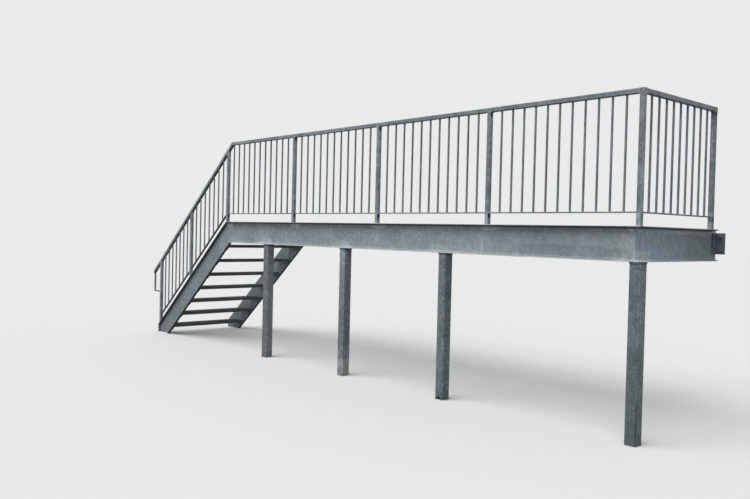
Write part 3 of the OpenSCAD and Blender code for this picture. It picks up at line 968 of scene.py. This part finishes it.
def galvanised(name, tone, pale, dark, spangle=0.017, contrast=0.10, mottling=0.10, streaks=0.3,
               rough=0.56, metallic=0.12, marks=None):
    """Weathered zinc: spangle, clouds, strokes and flecks, paler edges, and undersides darkened by painted
    shade.
    """
    material, tree, shader = new_material(name)
    coordinates = add_node(tree, "TexCoord", {}).outputs["Object"]
    _, flake = cells_of(tree, coordinates, spangle)
    cloud = noise(tree, coordinates, CLOUD_SCALE, 5.0, 0.6)
    mottle = noise(tree, coordinates, MOTTLE_SCALE, 3.0, 0.6)
    runs = noise(tree, stretched(tree, coordinates, RUN_SCALE), 1.0)
    grain = noise(tree, coordinates, GRAIN_SCALE, 2.0, 0.6)

    colour = mix_colour(tree, spread(tree, cloud, 0.36, 0.66), tone, pale)
    colour = mix_colour(tree, spread(tree, cloud, 0.44, 0.30), colour, dark)
    if marks:
        steel = Steel(tree, coordinates, colour)
        marks(steel)
        colour = steel.colour

    shade = math_node(tree, "MULTIPLY_ADD", flake[0], contrast, 1.0 - contrast / 2)
    mottled = spread(tree, mottle, 0.32, 0.68, 1.0 - mottling, 1.0 + mottling)
    ran = spread(tree, runs, 0.42, 0.68, 1.0 + 0.10 * streaks, 1.0 - 0.16 * streaks)
    edges, rounded = edge_mask(tree, EDGE_RADIUS)
    changes = (
        (feathers(tree, coordinates), FEATHERS_PALER),
        (flecks(tree, coordinates, 0.034, 0.20, 0.40), FLECKS_PALER),
        (edges, EDGES_PALER),
        # Painted shade: faces that look downwards are darkened
        (facing(tree, Z, -0.35, -0.75), -UNDERSIDE_SHADE),
    )
    factors = [mottled, ran]
    factors += [math_node(tree, "MULTIPLY_ADD", mask, change, 1.0) for mask, change in changes]
    for factor in factors:
        shade = math_node(tree, "MULTIPLY", shade, factor)
    roughness = spread(tree, flake[1], 0.0, 1.0, rough - 0.09, rough + 0.07)
    cloudy = spread(tree, cloud, 0.3, 0.7, -0.05, 0.06)
    relief = math_node(tree, "MULTIPLY_ADD", mottle, 0.7, grain)
    bump = add_node(tree, "Bump", {
        "Strength": BUMP_STRENGTH, "Distance": BUMP_HEIGHT, "Height": relief, "Normal": rounded,
    })
    feed(tree, shader, {
        "Base Color": scaled_colour(tree, colour, shade),
        "Roughness": math_node(tree, "ADD", roughness, cloudy),
        "Metallic": metallic,
        "Specular IOR Level": SPECULAR,
        "Normal": bump.outputs["Normal"],
    })
    return material


# Finishes

def channel_marks(steel):
    """Pale zinc round the welds, the end channel darker towards the wall, and painted shade down the stair
    and on the far stringer.
    """
    heated = steel.patches([x - 0.11 for x in support_x[:3]], frame_bottom, 0.19, 0.10)
    steel.stain_light_or_shade("heated over the posts", 0.45, PALE_ZINC_AND_LIGHT, heated, grain=STAIN_GRAIN)
    spattered = steel.patches(guard_x, frame_top - 0.024, 0.13, 0.036)
    steel.stain_light_or_shade("spatter under the guard", 0.90, SPATTER_AND_HIGHLIGHT, spattered, grain=STAIN_GRAIN)
    # Painted light: the web is made paler just under the upper flange, against the shade that the flange
    # throws
    steel.stain_light_or_shade("upper edge", 0.28, PALE_ZINC_AND_LIGHT, (Z, 0.01, 0.07))

    last_bay = steel.zone(LAST_BAY, FRONT)
    steel.stain_light_or_shade("last bay", 0.32, PALE_ZINC_AND_LIGHT, last_bay)
    steel.stain_light_or_shade("low in the last bay", 0.12, DAMP_ZINC_AND_SHADE, last_bay, (Z, -0.03, -0.09))
    steel.stain_light_or_shade("over the last bay's flange", 0.30, PALE_ZINC_AND_LIGHT,
                last_bay, (X, 2.48, 2.66), (Z, -0.085, -0.105))
    steel.stain_light_or_shade("middle bays", 0.14, PALE_ZINC_AND_LIGHT, *between(X, 0.0, 1.35, 0.15), FRONT)
    steel.stain_light_or_shade("grime before the corner", 0.26, DAMP_ZINC_AND_SHADE,
                *between(X, 1.7, 2.55, 0.25), (Z, -0.02, -0.08), grain=GRIME_GRAIN)

    end_web = steel.zone(END_WEB)
    # Painted light: the end web turns paler and bluer towards the corner, as skylight falls on it
    steel.stain_light_or_shade("end web by the corner", 0.70, SKYLIGHT_BLUE, end_web, (Y, -0.30, -1.00))
    steel.stain_light_or_shade("end web's foot", 0.62, PALE_ZINC_AND_LIGHT,
                *between(Y, -1.30, -1.06, 0.03), (Z, -0.06, -0.09), end_web, grain=STAIN_GRAIN)
    # Painted highlight: the toe of the lower flange is made paler, where light from above catches it
    steel.stain_light_or_shade("toe of the lower flange", 0.50, SPATTER_AND_HIGHLIGHT,
                (Y, front_low.y + 0.012, front_low.y + 0.004), (Z, -0.08, -0.12))
    steel.stain_light_or_shade("end web by the wall", 0.45, DAMP_ZINC_AND_SHADE, (Y, -1.00, -0.10), end_web)

    # Painted shade: the stringers are darkened down the stair
    steel.stain_light_or_shade("down the stair", STRINGER_SHADE, DAMP_ZINC_AND_SHADE, (X, -2.70, -4.00))
    steel.stain_light_or_shade("stair head", 0.24, DAMP_ZINC_AND_SHADE,
                (X, x_head + 0.09, x_head - 0.01), (X, x_head - 0.65, x_head - 0.30))
    # Painted shade: the far stringer, by the wall under the platform, is darkened
    steel.stain_light_or_shade("far stringer", FAR_SHADE, PAINTED_SHADE_BLACK, (Y, -0.50, -0.40), (X, -2.60, -2.70))


def post_marks(steel):
    """Green-grey below the line of a second dip, dark speckle and pale spatter down a run."""
    tree, coordinates = steel.tree, steel.coordinates
    first, second, third, last = support_x
    wobble = noise(tree, coordinates, 9.0, 3.0, 0.6)
    level = math_node(tree, "MULTIPLY_ADD", wobble, 0.10, DIP_LINE - 0.05)
    lower = spread(tree, math_node(tree, "SUBTRACT", level, steel.axes[Z]), -0.01, 0.02)
    steel.stain_light_or_shade("second dip", 0.55, DIPPED_ZINC, lower)
    run = steel.near([x + 0.028 for x in support_x], 0.024)
    grains = noise(tree, stretched(tree, coordinates, SPECKLE_SCALE), 1.0, 4.0, 0.7)
    in_run = math_node(tree, "MULTIPLY_ADD", run, 0.75, 0.25)
    steel.stain_light_or_shade("speckle", 0.85, COLD_ZINC, spread(tree, grains, 0.50, 0.60), in_run)
    gathered = steel.either(spread(tree, noise(tree, coordinates, 7.0, 2.0, 0.5), 0.44, 0.56), run)
    steel.stain_light_or_shade("spatter", 0.90, PALE_ZINC_AND_LIGHT, flecks(tree, coordinates, 0.024, 0.34, 0.7), gathered)

    steel.stain_light_or_shade("last post's front", 0.50, COLD_ZINC, *between(X, 2.4, 2.788, 0.003))
    steel.stain_light_or_shade("last post below the dip line", 0.40, DAMP_ZINC_AND_SHADE, lower, (X, 2.2, 2.4))
    # A dark line down the foot of the last post's arris, in the near-black of the painted shade
    steel.stain_light_or_shade("last post's dark arris", 0.75, PAINTED_SHADE_BLACK, (X, last + 0.034, last + 0.040),
                (Y, y_guard - 0.034, y_guard - 0.040), (Z, -1.12, -1.18))
    steel.stain_light_or_shade("first post's front", 0.42, DAMP_ZINC_AND_SHADE, *between(X, first - 0.1, first + 0.036, 0.003))
    steel.stain_light_or_shade("first post's side", 0.30, PALE_ZINC_AND_LIGHT, *between(X, first + 0.040, first + 0.1, 0.002))
    steel.stain_light_or_shade("third post", 0.16, DAMP_ZINC_AND_SHADE, steel.near([third], 0.12))
    steel.stain_light_or_shade("dirt at the feet", 0.45, DAMP_ZINC_AND_SHADE, (Z, cad_low.z + 0.14, cad_low.z), grain=STAIN_GRAIN)
    salted = steel.zone(steel.near([second], 0.12), (Z, cad_low.z + 0.24, cad_low.z + 0.11))
    steel.stain_light_or_shade("second post's salted foot", 0.38, PALE_ZINC_AND_LIGHT, salted)
    steel.stain_light_or_shade("second post's salted side", 0.37, PALE_ZINC_AND_LIGHT, salted, (X, second + 0.036, second + 0.042))
    # Painted shadow: the posts' tops and caps are near-black under the channel's flange
    steel.stain_light_or_shade("below the caps", 0.95, PAINTED_SHADE_BLACK, (Z, front_low.z - CAP_SHADE, front_low.z - CAP_THICK))


def cloudy_bands(steel):
    """Darker bands that come and go along a tube."""
    bands = spread(steel.tree, noise(steel.tree, steel.coordinates, 7.5, 2.0, 0.5), 0.50, 0.62)
    steel.stain_light_or_shade("cloudy bands", 0.30, DAMP_ZINC_AND_SHADE, bands)


def rail_marks(steel):
    """The front rail is duller than the others, most of all towards the corner."""
    growing = spread(steel.tree, steel.axes[X], -0.6, 0.4, 0.45, 1.0)
    steel.stain_light_or_shade("front rail", 0.38, DAMP_ZINC_AND_SHADE, (Y, y_guard + 0.03, y_guard + 0.02),
                (X, x_kink, x_kink + 0.05), growing)
    cloudy_bands(steel)


def tube_marks(steel):
    """Painted shadow on the guard posts' side faces under the bottom bar and the rail, side faces made paler
    as painted light, and feet that differ.
    """
    bar_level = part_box("front_infill_2")[0].z
    sideways = facing(steel.tree, X, 0.4, 0.7)
    by_wall = steel.zone((Y, y_wall_post - 0.12, y_wall_post - 0.06))
    platform = steel.zone((X, x_kink - 0.1, x_kink))
    low_stair = steel.zone((X, x_kink - 0.3, x_kink - 0.4), (Z, 0.2, -0.1))

    steel.stain_light_or_shade("towards the stair", 0.34, DAMP_ZINC_AND_SHADE, (X, 1.2, -1.2))
    steel.stain_light_or_shade("low on the stair", 0.35, PALE_ZINC_AND_LIGHT, low_stair)
    steel.stain_light_or_shade("corner post", 0.40, DAMP_ZINC_AND_SHADE, CORNER_POST, (Z, 0.20, 0.26))
    steel.stain_light_or_shade("post before the corner", 0.35, DAMP_ZINC_AND_SHADE, steel.near(guard_x[3:4], 0.12))
    steel.stain_light_or_shade("posts at the stair", 0.13, PALE_ZINC_AND_LIGHT, steel.near([x_head, x_mid_post], 0.12))
    # Painted light: faces that look along X are made paler, the more so on the corner post's lower part
    painted_light_side = steel.zone(sideways, steel.outside(steel.either(low_stair, by_wall)))
    steel.stain_light_or_shade("side faces", 0.36, PALE_ZINC_AND_LIGHT, painted_light_side)
    steel.stain_light_or_shade("corner post's lower side", 0.40, PALE_ZINC_AND_LIGHT, CORNER_POST, (Z, 0.62, 0.50), painted_light_side)
    steel.stain_light_or_shade("wall post's foot", 0.34, DAMP_ZINC_AND_SHADE, by_wall, (Z, bar_level + 0.02, bar_level))

    foot = steel.zone((Z, bar_level + 0.010, bar_level - 0.005), platform)
    steel.stain_light_or_shade("front of the feet", 0.50, PALE_ZINC_AND_LIGHT, foot, steel.outside(sideways))
    # Painted shade: the feet's side faces are darkened where they meet the bottom bar
    steel.stain_light_or_shade("side of the feet", 0.45, DAMP_ZINC_AND_SHADE, foot, sideways)
    # Painted shadow: the posts' side faces are near-black just under the bottom bar and the top rail
    under_bar = steel.zone(*between(Z, bar_level - 0.036, bar_level + 0.001, 0.006))
    under_rail = steel.zone(*between(Z, rail_low.z - 0.034, rail_low.z + 0.001, 0.006))
    not_corner = steel.either(steel.zone((X, 2.60, 2.50)), by_wall)
    steel.stain_light_or_shade("painted shadow under the bar and rail", 0.95, PAINTED_SHADE_BLACK,
                steel.either(under_bar, under_rail), sideways, platform, not_corner)
    cloudy_bands(steel)


def make_materials():
    """All finishes by name: the zinc's middle tone, its pale and dark clouds, and what differs."""
    finishes = {
        "channel_steel": ((0.270, 0.318, 0.350), (0.32, 0.37, 0.400), (0.225, 0.270, 0.303),
                          {"streaks": 0.18, "marks": channel_marks}),
        # The grating's tones are darkened as painted shade for the shaded sides of its bars
        "grating_steel": ((0.085, 0.098, 0.108), (0.13, 0.145, 0.155), (0.05, 0.06, 0.068), {}),
        "post_steel": ((0.192, 0.228, 0.252), (0.25, 0.29, 0.308), (0.14, 0.17, 0.187),
                       {"contrast": 0.20, "mottling": 0.16, "marks": post_marks}),
        "bracket_steel": ((0.104, 0.131, 0.157), (0.15, 0.182, 0.208), (0.071, 0.089, 0.106), {}),
        "rail_steel": ((0.270, 0.306, 0.332), (0.325, 0.357, 0.378), (0.205, 0.237, 0.262),
                       {"contrast": 0.16, "mottling": 0.16, "marks": rail_marks}),
        "tube": ((0.255, 0.300, 0.345), (0.31, 0.35, 0.39), (0.19, 0.23, 0.275),
                 {"contrast": 0.20, "mottling": 0.20, "marks": tube_marks}),
        "infill_steel": ((0.185, 0.212, 0.25), (0.24, 0.268, 0.305), (0.13, 0.155, 0.19),
                         {"contrast": 0.14, "mottling": 0.16}),
        "seam": ((0.39, 0.412, 0.415), (0.47, 0.49, 0.49), (0.31, 0.33, 0.335),
                 {"spangle": 0.006, "rough": 0.55}),
        "weld": ((0.34, 0.375, 0.39), (0.44, 0.47, 0.48), (0.24, 0.27, 0.285),
                 {"spangle": 0.006, "rough": 0.60}),
        "bolt": ((0.10, 0.112, 0.12), (0.16, 0.175, 0.18), (0.06, 0.068, 0.075),
                 {"spangle": 0.005, "rough": 0.46, "metallic": 0.3}),
    }
    materials = {}
    for name, (tone, pale, dark, rest) in finishes.items():
        colours = [(*colour, 1.0) for colour in (tone, pale, dark)]
        materials[name] = galvanised(name.split("_")[0] + "_zinc", *colours, **rest)
    return materials


def dress_frame(materials):
    """Gives every CAD node the finish of its material slot."""
    for part in frame["record"]["subparts"]:
        steel = nodes[part["node"]]
        steel.data.materials.clear()
        tube = part["node"] in ("guard_posts", "stair_posts")
        steel.data.materials.append(materials["tube" if tube else part["material_slot"]])


def make_plugs(material):
    """Zinc plugs in the vent holes low in both webs beside the platform's corner."""
    bm = bmesh.new()
    level = frame_bottom + PLUG_RISE
    add_turned(bm, (end_low.x - PLUG_IN_FRONT, front_high.y - CHANNEL_WEB, level), (0, -1, 0), PLUG, 24)
    add_turned(bm, (end_low.x + CHANNEL_WEB, front_high.y + PLUG_IN_END, level), (1, 0, 0), PLUG, 24)
    make_piece("vent_plugs", bm, material)


def make_welds(materials):
    """All the beads, in one piece for each area."""
    areas = (
        ("corner_welds", "channel_steel", "seam", (weld_corner,)),
        ("post_welds", "post_steel", "bracket_steel", (weld_supports,)),
        ("clip_welds", "bracket_steel", "bracket_steel", (weld_clip,)),
        ("guard_welds", "rail_steel", "weld", (weld_guard_posts, weld_rails)),
        ("infill_welds", "infill_steel", "weld", (weld_pickets, weld_bottom_bars)),
        ("frame_welds", "channel_steel", "weld", (weld_frame, weld_brackets)),
        ("tread_welds", "channel_steel", "weld", (weld_treads,)),
    )
    for name, slot, finish, runs in areas:
        bm = bmesh.new()
        for run in runs:
            run(bm)
        make_piece(name, bm, materials[finish], smooth=True)


# Studio

def seen_directly(tree):
    """1 for camera, glossy and transmitted rays, which show the background itself."""
    rays = add_node(tree, "LightPath", {}).outputs
    seen = math_node(tree, "MAXIMUM", rays["Is Camera Ray"], rays["Is Glossy Ray"])
    return math_node(tree, "MAXIMUM", seen, rays["Is Transmission Ray"])


def make_floor():
    """A wide floor at the posts' feet that looks pale and sends little light up."""
    bm = bmesh.new()
    bmesh.ops.create_grid(bm, x_segments=4, y_segments=4, size=FLOOR_REACH)
    mesh = bpy.data.meshes.new("studio_floor")
    bm.to_mesh(mesh)
    bm.free()
    floor = bpy.data.objects.new("studio_floor", mesh)
    floor.location = (0.0, 0.0, cad_low.z)
    scene.collection.objects.link(floor)
    material, tree, shader = new_material("studio_floor_paint")
    colour = mix_colour(tree, seen_directly(tree), FLOOR_BOUNCE, FLOOR_SEEN)
    feed(tree, shader, {"Base Color": colour, "Roughness": FLOOR_ROUGH, "Specular IOR Level": FLOOR_GLOSS})
    mesh.materials.append(material)


def make_world():
    """Soft light from all round, and the plain backdrop that is seen in its place."""
    world = bpy.data.worlds.new("studio_world")
    scene.world = world
    world.use_nodes = True
    tree = world.node_tree
    tree.nodes.clear()
    light = add_node(tree, "Background", {"Color": WORLD_TINT, "Strength": WORLD_LIGHT})
    backdrop = add_node(tree, "Background", {"Color": BACKGROUND, "Strength": 1.0})
    inputs = {"Fac": seen_directly(tree), 1: light.outputs[0], 2: backdrop.outputs[0]}
    mixer = add_node(tree, "MixShader", inputs)
    add_node(tree, "OutputWorld", {"Surface": mixer.outputs["Shader"]})


def make_sun():
    """One wide soft lamp from above the front."""
    light = bpy.data.lights.new("soft_sun", "SUN")
    light.energy = SUN_POWER
    light.angle = SUN_SPREAD
    light.color = SUN_TINT
    lamp = bpy.data.objects.new("soft_sun", light)
    lamp.rotation_mode = "QUATERNION"
    lamp.rotation_quaternion = Vector(SUN_FROM).to_track_quat("Z", "Y")
    scene.collection.objects.link(lamp)


def make_camera():
    """The camera, from the yaw, pitch and roll that were solved from the photograph."""
    forward = Vector((
        -math.sin(CAMERA_YAW) * math.cos(CAMERA_PITCH),
        math.cos(CAMERA_YAW) * math.cos(CAMERA_PITCH),
        math.sin(CAMERA_PITCH),
    ))
    level = Vector((math.cos(CAMERA_YAW), math.sin(CAMERA_YAW), 0.0))
    down = forward.cross(level)
    right = level * math.cos(CAMERA_ROLL) + down * math.sin(CAMERA_ROLL)
    up = level * math.sin(CAMERA_ROLL) - down * math.cos(CAMERA_ROLL)
    turn = Matrix((right, up, -forward)).transposed()
    data = bpy.data.cameras.new("photo_camera")
    data.lens = CAMERA_LENS
    data.sensor_width = SENSOR_WIDTH
    data.sensor_fit = "HORIZONTAL"
    camera = bpy.data.objects.new("photo_camera", data)
    camera.matrix_world = Matrix.Translation(CAMERA_PLACE) @ turn.to_4x4()
    scene.collection.objects.link(camera)
    scene.camera = camera


scene.view_settings.view_transform = "Standard"
make_camera()
make_world()
make_sun()
make_floor()
finishes = make_materials()
dress_frame(finishes)
make_deck(finishes["grating_steel"])
make_treads(finishes["grating_steel"])
make_saddle_clips(finishes["bolt"])
make_support_posts(finishes["post_steel"])
make_side_infill(finishes["infill_steel"])
make_filler(finishes["channel_steel"])
make_anchors(finishes["bolt"])
make_welds(finishes)
make_plugs(finishes["weld"])
